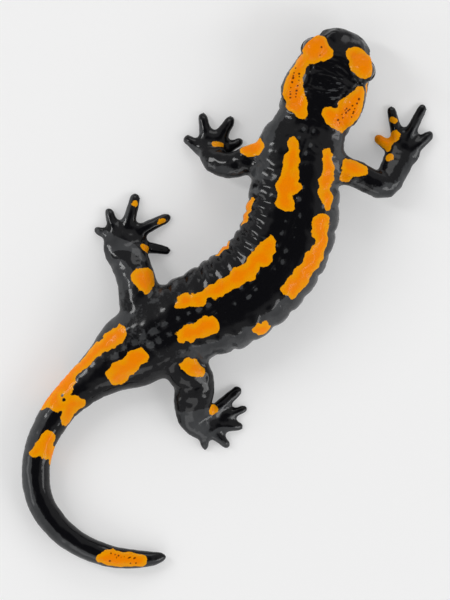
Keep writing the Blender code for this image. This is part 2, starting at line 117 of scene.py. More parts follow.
# ---------------------------------------------------------------- the yellow markings
# Each mark is a row of rounds that melt into each other.  On the body a round is (from the
# snout, to the left, radius) and lies on the back, or has a height as its fourth number.
BODY_MARKS = {
    "lid_left": ((6.5, 6.4, 3.0), (7.7, 6.8, 4.0), (7.7, 4.4, 2.5)),
    "lid_left_spur": ((9.8, 6.2, 1.8), (11.4, 8.0, 1.4), (13.0, 8.9, 1.7)),
    "lid_left_corner": ((11.6, 9.4, 1.6), (12.4, 8.8, 1.4)),
    "gland_left": ((13.8, 9.0, 1.9), (18.0, 8.7, 2.3), (21.2, 7.3, 2.7), (23.4, 5.5, 3.0),
                   (24.8, 4.2, 2.2)),
    "lid_right": ((5.6, -3.2, 2.4), (6.3, -5.4, 3.3), (7.4, -7.1, 2.9)),
    "gland_right": ((13.6, -8.4, 1.5), (16.1, -8.4, 2.6), (19.3, -7.6, 3.3), (22.6, -6.9, 3.1)),
    "gland_right_lobe": ((22.4, -5.6, 2.7), (22.2, -3.4, 1.9)),
    "jaw_corner_right": ((11.9, -9.7, 1.4, 9.4), (14.0, -10.4, 1.2, 9.0)),
    "shoulder_left": ((32.9, 2.5, 1.5), (36.8, 2.1, 2.1), (40.3, 2.0, 2.3), (44.1, 2.3, 2.9),
                      (47.4, 2.3, 2.4)),
    "shoulder_right": ((33.2, -6.7, 1.8), (36.3, -7.8, 2.0), (41.8, -8.2, 2.3),
                       (45.6, -8.4, 2.2), (47.9, -8.5, 1.5)),
    "flank_left_front": ((49.8, 10.9, 1.7, 10.6), (54.4, 11.2, 1.8, 10.2)),
    "flank_left_rear": ((69.8, 11.2, 1.8, 10.6), (72.6, 11.2, 1.7, 10.4)),
    "side_left": ((61.2, 3.0, 2.3), (65.6, 3.5, 2.5), (70.0, 3.8, 2.1), (73.9, 4.2, 2.4),
                  (77.9, 4.3, 1.9), (82.2, 4.4, 1.7), (86.4, 4.3, 1.7), (91.0, 5.0, 1.8)),
    "side_right": ((51.8, -8.0, 2.5), (54.8, -8.8, 2.2), (57.2, -9.0, 2.4), (60.0, -8.6, 2.7),
                   (63.5, -8.1, 2.8), (66.6, -7.9, 2.6)),
    "flank_right": ((76.9, -10.5, 2.1),),
    "hip_right": ((93.4, -3.2, 2.4), (90.2, -3.4, 2.2), (87.6, -3.3, 2.4)),
    "rump_left": ((109.0, 5.9, 2.5), (112.9, 5.8, 2.5), (116.5, 5.3, 2.2), (120.3, 4.9, 2.1),
                  (124.3, 4.7, 2.2), (127.8, 3.5, 3.1), (131.6, 1.8, 3.6)),
    "tail_ring_side": ((124.0, 5.2, 2.0, 6.0), (128.5, 4.8, 2.8, 5.0), (134.0, 4.2, 2.2, 5.2)),
    "tail_ring_lobe": ((130.4, -0.6, 2.7), (128.6, -2.4, 2.0)),
    "tail_ring_spur": ((131.8, -2.0, 2.2), (134.6, -3.6, 1.4)),
    "rump_right": ((107.2, -2.6, 2.2), (110.0, -2.6, 2.5), (113.4, -2.8, 2.7),
                   (116.0, -3.4, 2.2)),
    "tail_patch": ((141.4, -1.6, 2.1), (144.4, -1.4, 2.0), (145.8, -3.0, 2.0, 4.0)),
    "tail_patch_spur": ((144.6, -0.6, 1.4), (146.8, 1.0, 1.0)),
    "throat_flecks": ((9.0, 3.4, 1.1, 3.0),),
    "throat_fleck_right": ((15.5, -4.0, 1.3, 3.0),),
    "belly_fleck": ((48.0, 5.6, 1.3, 0.4),),
    "belly_fleck_rear": ((83.0, -5.4, 1.2, 0.4),),
    "tail_end": ((181.2, 1.1, 1.4), (184.3, 0.0, 2.3), (188.0, 0.1, 2.4), (191.6, 0.5, 1.8)),
}
# On a limb a round is (x, y, radius) on the floor plan, dropped onto the limb from above.
LIMB_MARKS = {
    "arm_left": ((5.3, 39.4, 1.9), (7.9, 40.1, 2.6)),
    "palm_left": ((-3.2, 40.9, 0.6), (-1.2, 40.6, 0.5)),
    "arm_right": ((32.4, 34.4, 2.3), (35.2, 33.8, 1.8)),
    "arm_right_spur": ((32.0, 33.2, 1.8), (31.5, 31.6, 1.5)),
    "thumb_right": ((40.2, 42.6, 1.8), (42.4, 41.2, 1.4), (42.6, 39.6, 1.1)),
    "palm_right": ((42.2, 41.4, 1.3), (44.3, 43.1, 1.5)),
    "finger_band_right": ((43.8, 47.2, 1.2),),
    "wrist_right": ((42.8, 37.4, 1.2),),
    "shin_left": ((-22.4, 6.0, 2.5), (-21.4, 4.2, 2.5), (-21.0, 1.8, 1.2)),
    "shin_left_inner": ((-20.8, 6.6, 2.0), (-20.2, 4.2, 1.8)),
    "ankle_left": ((-21.4, 13.6, 1.4),),
    "toe_band_left_middle": ((-24.0, 25.2, 1.1),),
    "toe_band_left_second": ((-17.0, 20.6, 1.2),),
    "thigh_right": ((-9.6, -17.0, 2.2), (-7.2, -18.8, 1.9)),
    "ankle_right": ((-3.4, -29.0, 1.5),),
}
FAR = 9.0                         # further than any mark or pore reaches
# Places inside a mark that stay black: (from the snout, to the left, radius).
BLACK_BITES = ((136.2, 0.6, 1.9), (125.6, 0.4, 1.5), (130.0, 1.9, 0.45), (130.6, 0.8, 0.45))
# How grey the flanks are, partly slate skin and partly painted rim highlight on the side that
# faces each way, from the snout to the tail tip: (from the snout, share).
SLATE_AND_SHEEN_RIGHT = ((0, 0.6), (12, 0.5), (20, 1.1), (34, 1.2), (44, 0.85), (60, 1.0), (92, 1.0),
               (101, 0.4), (110, 0.1), (199, 0.1))
SLATE_AND_SHEEN_LEFT = ((0, 0.4), (12, 0.6), (20, 1.4), (34, 1.4), (44, 0.35), (60, 0.15), (92, 0.2),
              (112, 0.6), (130, 1.3), (150, 1.7), (199, 1.6))
LIMBS = tuple(
    tuple(f"{piece}_{side}" for piece in pieces)
    for pieces in (("upper_arm", "forearm", "hand"), ("thigh", "shank", "foot"))
    for side in ("left", "right")
)
MAP_SPLIT = 100.0                 # where the body's sheet is cut in two, from the snout
MAP_GAP = 1.5                     # room between two sheets of the map
MAP_WIDTHS = range(60, 260, 4)    # widths that are tried for its rows
WALL_SHARE = 0.57                 # how much longer a quarter of a circle is than its radius
LIMB_DEPTH = 2.2                  # half height of a limb
# The side of each limb that is grey, partly slate skin and partly painted highlight on the side
# that faces the lamps: (nodes, way it faces on the floor plan, share).
SLATE_AND_SHEEN_LIMBS = (
    (("upper_arm_left", "forearm_left"), (-0.6, -0.8), 0.7),
    (("hand_left",), (-0.6, -0.8), 1.0),
    (("upper_arm_right", "forearm_right", "hand_right"), (0.8, -0.6), 1.0),
    (("thigh_left", "shank_left", "foot_left"), (-1.0, 0.1), 1.0),
    (("thigh_right", "shank_right"), (-0.7, -0.7), 0.25),
    (("foot_right",), (0.3, -0.9), 1.3),
)
# Painted highlight across the left ankle: a grey band, with black bands beside it where grey is
# taken away: (rounds as on a limb, share of grey to add or take away).
ANKLE_HIGHLIGHT_BANDS = (
    (((-32.0, 13.4, 1.2), (-28.6, 14.8, 1.3), (-24.6, 13.4, 1.2), (-22.0, 10.6, 1.0)), 1.0),
    (((-29.4, 11.6, 0.9), (-26.0, 11.6, 1.1), (-23.6, 9.2, 1.3), (-22.4, 7.0, 1.0)), -1.6),
    (((-30.6, 19.0, 1.4), (-25.0, 18.0, 2.4), (-22.0, 16.4, 1.6)), -1.2),
)
# The nape's streaks are creases in the bump and painted highlight in the grey.
NAPE_TURN = 23.0                  # the way that the streaks of the nape run, in degrees
# Rows of dark pores: (start, end, how many, wobble), each end as (from snout, to the left).
PORE_ROWS = (
    ((14.2, 9.6), (23.2, 7.4), 9, 0.35),
    ((15.0, 8.4), (22.4, 6.4), 7, 0.3),
    ((15.6, -9.4), (21.6, -8.8), 6, 0.4),
    ((17.2, -8.0), (23.4, -7.2), 6, 0.5),
    ((18.6, -6.8), (23.0, -5.4), 4, 0.5),
    ((183.2, 0.8), (191.6, 0.9), 5, 0.3),
    ((182.6, -0.8), (190.8, -0.8), 6, 0.3),
    ((184.8, 0.1), (190.2, 0.1), 4, 0.5),
    ((6.4, 5.2), (9.6, 4.2), 2, 0.4),
)

# Soft boxes that point at the middle of the floor, in metres:
# (name, place, width, height, share of the main light's power).
LAMPS = (
    ("key", (-0.60, 0.30, 0.50), 0.12, 0.40, 0.65),
    ("rim_right", (0.85, -0.15, 0.36), 0.45, 0.27, 0.6),
    ("rim_left", (-0.85, -0.20, 0.38), 0.45, 0.27, 0.4),
    ("fill_right", (0.62, -0.40, 0.50), 0.40, 0.24, 0.6),
    ("fill_rear", (0.10, 0.85, 0.45), 0.60, 0.36, 0.6),
    ("fill_front", (-0.15, -0.85, 0.45), 0.60, 0.36, 0.45),
)
# The camera looks straight down at this place and height, in metres.
VIEW_MIDDLE = (-0.0004, -0.00026)
VIEW_HEIGHT = 0.008


# ---------------------------------------------------------------- sums on many values
def read_curve(stations, place):
    """Read a (place, value) table on a smooth curve that never overshoots."""
    spots, values = zip(*stations)
    place = min(max(place, spots[0]), spots[-1])
    runs = [after - before for before, after in zip(spots, spots[1:])]
    rises = [(values[i + 1] - values[i]) / run for i, run in enumerate(runs)]
    slopes = [2 * a * b / (a + b) if a * b > 0 else 0.0 for a, b in zip(rises, rises[1:])]
    slopes = [rises[0], *slopes, rises[-1]]
    i = min(sum(spot <= place for spot in spots), len(runs)) - 1
    t = (place - spots[i]) / runs[i]
    return (
        values[i] * (1 + 2 * t) * (1 - t) ** 2
        + values[i + 1] * t * t * (3 - 2 * t)
        + runs[i] * slopes[i] * t * (1 - t) ** 2
        + runs[i] * slopes[i + 1] * t * t * (t - 1)
    )


def read_table(table, places):
    """Read a (place, value) table at many places, on straight lines between its own."""
    return np.interp(places, *np.array(table, float).T)


def ramp(values, low, high):
    """Rise softly from 0 at low to 1 at high, or fall where high is the lower one."""
    share = np.clip((values - low) / (high - low), 0.0, 1.0)
    return share * share * (3.0 - 2.0 * share)


def window(values, rise, fall):
    """Rise and fall again, each softly from (where it is 0) to (where it is 1)."""
    return ramp(values, *rise) * ramp(values, *fall)


def bell(values, width):
    """A soft bump that is 1 at zero and fades over the width."""
    return np.exp(-((values / width) ** 2))


def rumple(points, wave, seed):
    """Read soft noise at points, with its wavelength along each of three ways."""
    shift = Vector((seed * 17.3, seed * 5.1, seed * 9.7))
    rows = (points / np.asarray(wave)).tolist()
    return np.array([noise.noise(Vector(row) + shift) for row in rows])


def gap_to(points, place):
    """Give how far each point lies from a place."""
    return np.linalg.norm(points - np.array(place), axis=1)


def plan_gap(points, place):
    """Give how far each point lies from a place on the floor plan."""
    return np.hypot(points[:, 0] - place[0], points[:, 1] - place[1])


class Spine:
    """The line on the floor that the body follows, from the snout to the tail tip."""

    def __init__(self):
        x, y = SNOUT_POINT
        steps = []
        for number in range(int(SPINE_LENGTH / SPINE_STEP) + 1):
            heading = math.radians(read_curve(SPINE_BENDS, number * SPINE_STEP))
            back = (math.cos(heading), math.sin(heading))
            steps.append((x, y, *back))
            x += back[0] * SPINE_STEP
            y += back[1] * SPINE_STEP
        steps = np.array(steps)
        self.points = steps[:, :2]
        self.back = steps[:, 2:]

    def frame(self, along):
        """Give the floor point, the way back and the way to the left, as vectors."""
        share = min(max(along / SPINE_STEP, 0.0), len(self.points) - 1.001)
        index = int(share)
        part = share - index
        point, back = (
            rows[index] * (1 - part) + rows[index + 1] * part for rows in (self.points, self.back)
        )
        back = Vector((*back, 0.0)).normalized()
        return Vector((*point, 0.0)), back, Vector((back.y, -back.x, 0.0))

    def place(self, along, across, height=0.0):
        """Turn a place on the body into a point."""
        point, _, left = self.frame(along)
        return point + left * across + Vector((0.0, 0.0, height))

    def split(self, along, ways):
        """Split the way at each place into how much of it runs back and how much runs left."""
        number = np.clip((along / SPINE_STEP).astype(int), 0, len(self.points) - 1)
        back_x, back_y = self.back[number].T
        onward = ways[:, 0] * back_x + ways[:, 1] * back_y
        return onward, ways[:, 0] * back_y - ways[:, 1] * back_x

    def read(self, points, batch=4096):
        """Give how far along and how far to the left of the spine each point lies."""
        along = np.empty(len(points))
        across = np.empty(len(points))
        for start in range(0, len(points), batch):
            part = slice(start, start + batch)
            gaps = points[part, None, :2] - self.points[None, :, :]
            nearest = (gaps ** 2).sum(axis=2).argmin(axis=1)
            offset = points[part, :2] - self.points[nearest]
            onward, across[part] = self.split(nearest * SPINE_STEP, offset)
            along[part] = nearest * SPINE_STEP + onward
        return along, across


SPINE = Spine()


def read_all(parts, name, width=1, kind=np.int32):
    """Read a property of all points, edges, corners or faces of a mesh."""
    values = np.empty(len(parts) * width, kind)
    parts.foreach_get(name, values)
    return values.reshape(-1, width) if width > 1 else values


class Hide:
    """The skin while it is being shaped: its points in millimetres, and what they hang on."""

    def __init__(self, mesh):
        self.mesh = mesh
        self.points = read_all(mesh.vertices, "co", 3, float) / MM
        self.edges = read_all(mesh.edges, "vertices", 2)
        self.links = np.bincount(self.edges.ravel(), minlength=len(self.points))

    def around(self, values):
        """Average each point's neighbours."""
        first, second = self.edges.T
        columns = values.reshape(len(values), -1)
        total = np.empty_like(columns, dtype=float)
        for number, column in enumerate(columns.T):
            total[:, number] = sum(
                np.bincount(near, weights=column[far], minlength=len(values))
                for near, far in ((first, second), (second, first))
            )
        return (total / self.links[:, None]).reshape(values.shape)

    def relax(self, passes, amount=0.5, keep=0.0):
        """Even the surface out.  Keep swells each pass again, so that it doesn't shrink."""
        share = np.asarray(amount, float)
        share = share[:, None] if share.ndim else share
        for _ in range(passes):
            self.points += (self.around(self.points) - self.points) * share
            if keep:
                self.points -= (self.around(self.points) - self.points) * share * keep

    def spread(self, values, passes):
        """Let a value bleed over the surface."""
        for _ in range(passes):
            values = values * 0.5 + self.around(values) * 0.5
        return values

    def store(self):
        """Put the points back into the mesh."""
        self.mesh.vertices.foreach_set("co", (self.points * MM).ravel())
        self.mesh.update()

    def normals(self):
        """Give the way out of the skin at each point."""
        self.store()
        return read_all(self.mesh.vertex_normals, "vector", 3, float)

    def lift(self, amount):
        """Raise the skin along its normals."""
        self.points += self.normals() * np.asarray(amount)[:, None]

    def tree(self):
        """Give a search tree of the faces, in millimetres."""
        faces = [tuple(face.vertices) for face in self.mesh.polygons]
        return BVHTree.FromPolygons(self.points.tolist(), faces)

    def note(self, name, values):
        """Store a value for each point, for the shader to read."""
        attribute = self.mesh.attributes.new(name, "FLOAT", "POINT")
        attribute.data.foreach_set("value", np.asarray(values, np.float32))


def to_mesh(bm, name):
    """Turn a BMesh into a new mesh."""
    mesh = bpy.data.meshes.new(name)
    bm.to_mesh(mesh)
    bm.free()
    return mesh


def put(name, data):
    """Put a new object into the scene."""
    thing = bpy.data.objects.new(name, data)
    bpy.context.scene.collection.objects.link(thing)
    return thing


# ---------------------------------------------------------------- skin: from solids to one form
def join_flesh(swell):
    """Copy the flesh, swollen enough to close the thin cuts between its pieces."""
    most = 1.6                    # how much further a sharp corner may move than a face
    bm = bmesh.new()
    for name in FLESH_NODES + EYE_NODES:
        bm.from_mesh(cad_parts[name].data)
    bmesh.ops.remove_doubles(bm, verts=bm.verts, dist=1e-6)
    bm.normal_update()
    moves = [vert.normal * min(vert.calc_shell_factor(), most) for vert in bm.verts]
    for vert, move in zip(bm.verts, moves):
        vert.co += move * swell * MM
    return to_mesh(bm, "flesh")


def weld_flesh(mesh, grain):
    """Melt the swollen pieces into one closed skin of even faces."""
    thing = put("flesh", mesh)
    melt = thing.modifiers.new("melt", "REMESH")
    melt.mode = "VOXEL"
    melt.voxel_size = grain * MM
    bpy.context.view_layer.update()
    graph = bpy.context.evaluated_depsgraph_get()
    welded = bpy.data.meshes.new_from_object(thing.evaluated_get(graph))
    bpy.data.objects.remove(thing)
    bpy.data.meshes.remove(mesh)
    return welded


def refine(mesh, wanted):
    """Divide the edges whose two points are both wanted, and the faces between them."""
    bm = bmesh.new()
    bm.from_mesh(mesh)
    bm.verts.index_update()
    edges = [edge for edge in bm.edges if all(wanted[vert.index] for vert in edge.verts)]
    bmesh.ops.subdivide_edges(bm, edges=edges, cuts=1, use_grid_fill=True)
    bm.to_mesh(mesh)
    bm.free()


def even_skin(settings):
    """Weld the flesh, even it out, and give the head finer faces."""
    mesh = weld_flesh(join_flesh(settings.swell), settings.grain)
    hide = Hide(mesh)
    along, across = SPINE.read(hide.points)
    half_width = read_table(HALF_WIDTHS, along)
    hide.relax(6, keep=1.04)
    limbs = (np.abs(across) > half_width).astype(float)
    for palm in PALMS.values():
        limbs *= ramp(plan_gap(hide.points, palm), 3.0, 5.0)
    hide.relax(24, amount=hide.spread(limbs, 4) * 0.5, keep=1.03)
    body = (np.abs(across) < half_width + 0.6) & (along > HEAD_LENGTH)
    hide.relax(14, amount=hide.spread(body.astype(float), 8) * 0.5)
    hide.lift(np.full(len(hide.points), -settings.swell))
    hide.relax(4, keep=1.04)
    hide.store()

    refine(mesh, (along < HEAD_LENGTH) & (np.abs(across) < HEAD_REACH))
    hide = Hide(mesh)
    along, across = SPINE.read(hide.points)
    head = (along < HEAD_LENGTH + 0.5) & (np.abs(across) < HEAD_REACH + 0.5)
    hide.relax(4, amount=head * 0.5)
    hide.relax(16, amount=ramp(along, 9.0, 4.0) * 0.5, keep=1.02)
    return hide


def name_points(hide):
    """Tell for each point of the skin the node of flesh that it lies on."""
    corners = []
    faces = []
    owners = []
    for number, name in enumerate(FLESH_NODES):
        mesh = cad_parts[name].data
        start = len(corners)
        corners.extend(vert.co / MM for vert in mesh.vertices)
        faces.extend(tuple(start + i for i in face.vertices) for face in mesh.polygons)
        owners.extend([number] * len(mesh.polygons))
    tree = BVHTree.FromPolygons(corners, faces)
    return np.array([owners[tree.find_nearest(Vector(p))[2]] for p in hide.points.tolist()])


class Regions:
    """Where each point of the skin lies on the animal."""

    def __init__(self, hide):
        self.hide = hide
        self.owners = name_points(hide)
        self.along, self.across = SPINE.read(hide.points)
        self.height = hide.points[:, 2]
        self.half_width = read_table(HALF_WIDTHS, self.along)
        self.back_height = read_table(BACK_HEIGHTS, self.along)
        self.outward = self.across / self.half_width
        self.aside = np.abs(self.across)
        self.reach = np.abs(self.outward)
        self.trunk = self.mask("neck", "chest", "trunk", "hips")
        self.head = self.mask("head", "lower_jaw")
        self.tail = self.mask("tail_base", "tail_front", "tail_middle", "tail_rear", "tail_tip")
        self.front = np.clip(self.head + self.trunk, 0.0, 1.0)
        self.body = np.clip(self.trunk + self.head + self.tail, 0.0, 1.0)
        # Filled in by the relief, for the shader: the count of folds, and how far the folds,
        # the glands of the back and the streaks of the nape show.
        self.fold = self.crests = self.beads = self.nape = np.zeros(len(hide.points))

    def mask(self, *names, passes=8):
        """Give 1 on these nodes and 0 elsewhere, with a soft edge."""
        numbers = [FLESH_NODES.index(name) for name in names]
        return self.hide.spread(np.isin(self.owners, numbers).astype(float), passes)


# ---------------------------------------------------------------- skin: folds, glands, lids
def costal_grooves(skin, depth):
    """Thirteen upright grooves down each flank, with the skin swelling between them.

    On the left, where the body bends inwards, a low fold runs from each swelling up the back.
    """
    drift = rumple(skin.hide.points, (7.0, 7.0, 9.0), 9)
    along = skin.along + 0.9 * skin.reach ** 2 + 1.1 * drift
    phase = (along - FIRST_GROOVE) / GROOVE_STRIDE
    nearest = np.round(phase)
    inside = window(along, (FIRST_GROOVE - 3.0, FIRST_GROOVE), (LAST_GROOVE + 3.0, LAST_GROOVE))
    inner = skin.across > 0
    flank = ramp(skin.reach, 0.52, 0.86)
    belly = 0.3 + 0.7 * ramp(skin.height, 0.5, 4.0)
    strength = np.where(inner, 0.72 - 0.25 * ramp(skin.reach, 0.85, 1.0), 0.85)
    strength = strength * (0.75 + 0.25 * np.sin(nearest * 2.7 + np.where(inner, 1.0, 0.0)))
    groove = bell((phase - nearest) * GROOVE_STRIDE, 0.66)
    hollow = 0.5 + 0.5 * np.cos(math.tau * phase)
    relief = 0.28 * (1.0 - hollow) - depth * groove
    skin.fold = phase
    # The crests also tell the shader where to paint grey lines along the folds.
    skin.crests = inside * skin.trunk * ramp(skin.outward, 0.2, 0.42)
    fold = 0.20 * np.abs(np.sin(math.pi * phase)) * skin.crests
    return relief * inside * flank * belly * strength * skin.trunk + fold * belly


def drawn_out_noise(skin, along, fine_wave, broad_wave, seed):
    """Give sharp fine creases and broad waves, which run across the body."""
    rows = np.stack((along, skin.across, skin.height), axis=1)
    return np.abs(rumple(rows, fine_wave, seed)), rumple(rows, broad_wave, seed + 1)


def flank_wrinkles(skin):
    """Fine upright creases over the flanks, faint on the folds of the left flank."""
    fine, broad = drawn_out_noise(skin, skin.along, (1.0, 4.5, 5.0), (2.6, 5.0, 6.0), 1)
    flank = ramp(skin.reach, 0.25, 0.75)
    strength = np.where(skin.across > 0, 0.85, 0.7)
    strength = strength * (0.6 + 0.4 * bell(skin.along - 62.0, 22.0))
    fine_depth = 0.10 - 0.09 * skin.crests
    return (0.10 * broad - fine_depth * fine) * flank * strength * skin.trunk


def spine_glands(skin):
    """A furrow along the back, with a row of small poison glands on each side of it."""
    count = skin.along / SPINE_GLAND_STRIDE
    nearest = np.round(count)
    side = np.where(skin.across > 0, 1.0, 2.0)
    along_gap = (count - nearest) * SPINE_GLAND_STRIDE - 0.45 * np.sin(nearest * 7.3 * side)
    across_gap = skin.aside - 1.5 - 0.3 * np.sin(nearest * 3.1 + side)
    reach = window(skin.along, (23.0, 27.0), (122.0, 108.0))
    on_back = ramp(skin.height, skin.back_height * 0.6, skin.back_height * 0.8)
    bead = np.exp(-(along_gap / 0.95) ** 2 - (across_gap / 0.72) ** 2)
    bead = bead * (0.7 + 0.3 * np.sin(nearest * 4.9 + side * 1.7))
    place = reach * on_back * np.clip(skin.trunk + skin.tail, 0.0, 1.0)
    skin.beads = bead * place
    return 0.26 * skin.beads - 0.20 * bell(skin.across, 0.8) * place


def side_glands(skin):
    """A gland on each fold of the flank, along the upper edge of the flank."""
    count = (skin.along - FIRST_GROOVE) / GROOVE_STRIDE - 0.5
    nearest = np.round(count)
    along_gap = (count - nearest) * GROOVE_STRIDE - 0.5 * np.sin(nearest * 6.1)
    across_gap = skin.reach - 0.66 - 0.04 * np.sin(nearest * 5.0)
    reach = window(nearest, (-1.5, -0.5), (12.5, 11.5))
    bead = np.exp(-(along_gap / 1.0) ** 2 - (across_gap * skin.half_width / 0.85) ** 2)
    upper = ramp(skin.height, 5.0, 8.0)
    size = np.where(skin.across > 0, 0.05, 0.22)
    return size * bead * reach * upper * skin.trunk


def throat_fold(skin):
    """The fold across the throat, which runs up the side of the neck."""
    place = 24.6 + 0.12 * skin.aside + 0.05 * skin.height
    groove = bell(skin.along - place, 0.42)
    roll = bell(skin.along - place + 1.3, 0.9)
    low = ramp(skin.height, 9.5, 5.0)
    neck = window(skin.along, (20.0, 22.0), (30.0, 27.0))
    return (-0.55 * groove + 0.22 * roll) * low * neck * skin.body


def gland_reach(skin):
    """Give how far each point lies from the middle of a parotoid gland, with 1 on its rim."""
    along_share = (skin.along - GLAND_PLACE[0]) / GLAND_SIZE[0]
    across_share = (skin.aside - GLAND_PLACE[1]) / GLAND_SIZE[1]
    return np.sqrt(along_share ** 2 + across_share ** 2)


def head_wrinkles(skin):
    """Soft slanting creases from the eyes over the back of the head and the neck."""
    slanted = skin.along - 0.12 * skin.aside
    fine, broad = drawn_out_noise(skin, slanted, (1.0, 3.6, 5.0), (2.6, 4.4, 6.0), 3)
    reach = window(skin.along, (6.0, 10.0), (40.0, 30.0))
    gland = ramp(gland_reach(skin), 1.15, 0.7) * ramp(skin.height, 6.0, 8.0)
    off_gland = 1.0 - 0.8 * gland
    strength = skin.front * reach * off_gland
    # The nape mask also tells the shader where to paint the highlight streaks.
    nape = bell(skin.along - 15.5, 7.0) * bell(skin.across + 2.0, 4.6)
    skin.nape = nape * off_gland * ramp(skin.height, 8.0, 11.0)
    return (-0.26 * fine + 0.16 * broad) * strength


def gland_relief(skin):
    """Raise the parotoid glands and sink a furrow round them."""
    reach = gland_reach(skin)
    upper = ramp(skin.height, 5.5, 8.5)
    uneven = 0.6 + 0.8 * rumple(skin.hide.points, (2.5, 2.5, 2.5), 10)
    rim = 0.22 * bell(reach - 1.12, 0.2) * uneven
    return (0.30 * ramp(reach, 1.0, 0.4) - rim) * upper * skin.front


def mouth_relief(skin):
    """The line of the mouth, with the upper lip a little proud of it."""
    above = skin.height - read_table(MOUTH_LINE, skin.along)
    reach = ramp(skin.along, MOUTH_CORNER + 0.8, MOUTH_CORNER - 0.6)
    line = bell(above, 0.19)
    lip = bell(above - 0.75, 0.5)
    chin = bell(above + 0.7, 0.45)
    return (-0.42 * line + 0.12 * lip + 0.05 * chin) * reach * skin.head


def nostril_relief(skin):
    """A pit with a raised rim on each side of the snout."""
    points = skin.hide.points
    along, across, height = NOSTRIL_PLACE
    total = np.zeros(len(points))
    for side in SIDES:
        nearest = gap_to(points, SPINE.place(along, across * side, height)).argmin()
        gap = gap_to(points, points[nearest])
        total += 0.12 * bell(gap - 0.72, 0.30) - 0.65 * bell(gap, 0.36)
    return total * skin.head


def tail_rings(skin):
    """Shallow rings along the tail, which fade towards its tip."""
    wave = np.sin(math.tau * (skin.along + 0.25 * skin.height) / 3.4)
    reach = window(skin.along, (106.0, 116.0), (180.0, 135.0))
    upright = ramp(skin.reach, 0.2, 0.8)
    return -0.10 * ramp(wave, 0.55, 1.0) * reach * upright * skin.tail


def limb_wrinkles(skin):
    """Loose creases over the limbs, and a joint across each digit."""
    points = skin.hide.points
    limb = 1.0 - skin.body
    palms = skin.mask(*PALMS, passes=6)
    relief = -0.16 * np.abs(rumple(points, (1.8, 1.4, 2.4), 5)) * limb * (1.0 - 0.5 * palms)
    relief += 0.13 * rumple(points, (3.2, 3.2, 3.2), 6) * limb * (1.0 - 0.6 * palms)
    for name, palm in PALMS.items():
        relief -= 0.07 * bell(plan_gap(points, palm) - 6.4, 0.3) * skin.mask(name, passes=3)
    return relief


def soft_lumps(skin):
    """The slight unevenness of living flesh."""
    rows = skin.hide.points
    lumps = 0.16 * rumple(rows, (4.2, 4.2, 4.2), 7) + 0.06 * rumple(rows, (1.6, 1.6, 1.6), 8)
    return lumps * (1.0 - 0.75 * ramp(skin.along, 9.0, 4.0))


RELIEFS = (
    flank_wrinkles, spine_glands, side_glands, throat_fold, head_wrinkles, gland_relief,
    mouth_relief, nostril_relief, tail_rings, limb_wrinkles, soft_lumps,
)


def eye_axes(side):
    """Give the eye's centre, and its ways of looking, forwards and up."""
    along, across, height = EYE_PLACE
    centre = SPINE.place(along, across * side, height)
    _, back, left = SPINE.frame(along)
    gaze = (left * side * 0.86 - back * 0.42 + Vector((0.0, 0.0, 0.30))).normalized()
    forward = (-back - gaze * (-back).dot(gaze)).normalized()
    up = gaze.cross(forward) if gaze.cross(forward).z > 0 else forward.cross(gaze)
    return centre, gaze, forward, up


def shape_lids(hide):
    """Draw the skin over each eyeball as two lids, and sink it behind the ball between them."""
    sunk = EYE_RADIUS - 0.7
    for side in SIDES:
        centre, gaze, forward, up = (np.array(v) for v in eye_axes(side))
        offset = hide.points - centre
        reach = np.linalg.norm(offset, axis=1)
        near = reach < LID_REACH
        reach = reach[near]
        way = offset[near] / reach[:, None]
        ahead = way @ gaze
        upwards = way @ up
        tall = np.where(upwards > 0, 0.50, 0.56)
        spot = np.sqrt((way @ forward / 0.80) ** 2 + (upwards / tall) ** 2)
        inside = (1.0 - np.where(ahead > 0, spot, 3.0)) * 1.6
        lid = EYE_RADIUS + 0.42 + 0.14 * bell(inside + 0.35, 0.3) - 0.20 * bell(inside + 1.15, 0.3)
        wanted = sunk + (lid - sunk) * ramp(inside, 0.22, -0.12)
        hold = ramp(inside, -2.0, -0.9) * ramp(ahead, -0.1, 0.25)
        above = ramp(upwards, -0.2, 0.2)
        wanted = np.where(inside < -0.3, np.maximum(wanted, reach * above), wanted)
        fresh = reach + (wanted - reach) * hold
        hide.points[near] = centre + way * fresh[:, None]


def thin_digits(skin):
    """Slope each digit down to a rounded tip."""
    points = skin.hide.points
    for name, palm in PALMS.items():
        slope = ramp(plan_gap(points, palm), 6.0, 12.0)
        points[:, 2] *= 1.0 - 0.34 * slope * skin.mask(name, passes=3)
    tips = skin.mask(*PALMS, passes=2)
    for palm in PALMS.values():
        tips *= ramp(plan_gap(points, palm), 4.5, 6.5)
    skin.hide.relax(18, amount=tips * 0.5, keep=1.02)


# ---------------------------------------------------------------- skin: what the shader reads
def drop(tree, point):
    """Drop a point onto the skin from above."""
    return np.array(tree.ray_cast(point + ABOVE_ALL, DOWN)[0])


def mark_distance(skin, tree):
    """Give for each point how far it lies inside the nearest yellow mark."""
    points = skin.hide.points

    def land(along, across, *height):
        place = SPINE.place(along, across, *height)
        return np.array(tree.find_nearest(place)[0]) if height else drop(tree, place)

    chains = [
        [(land(along, across, *height), radius) for along, across, radius, *height in chain]
        for chain in BODY_MARKS.values()
    ] + [
        [(drop(tree, Vector((x, y, 0.0))), radius) for x, y, radius in chain]
        for chain in LIMB_MARKS.values()
    ]
    best = np.full(len(points), -FAR)
    for chain in chains:
        for depth in link_depths(points, chain):
            best = blend_depths(best, depth)
    lobes = rumple(points, (3.4, 3.4, 3.4), 11) + 0.55 * rumple(points, (1.5, 1.5, 1.5), 12)
    best += lobes * (0.5 + 0.8 * skin.trunk + 0.3 * skin.tail)
    for along, across, radius in BLACK_BITES:
        best = np.minimum(best, gap_to(points, land(along, across)) - radius)
    return best


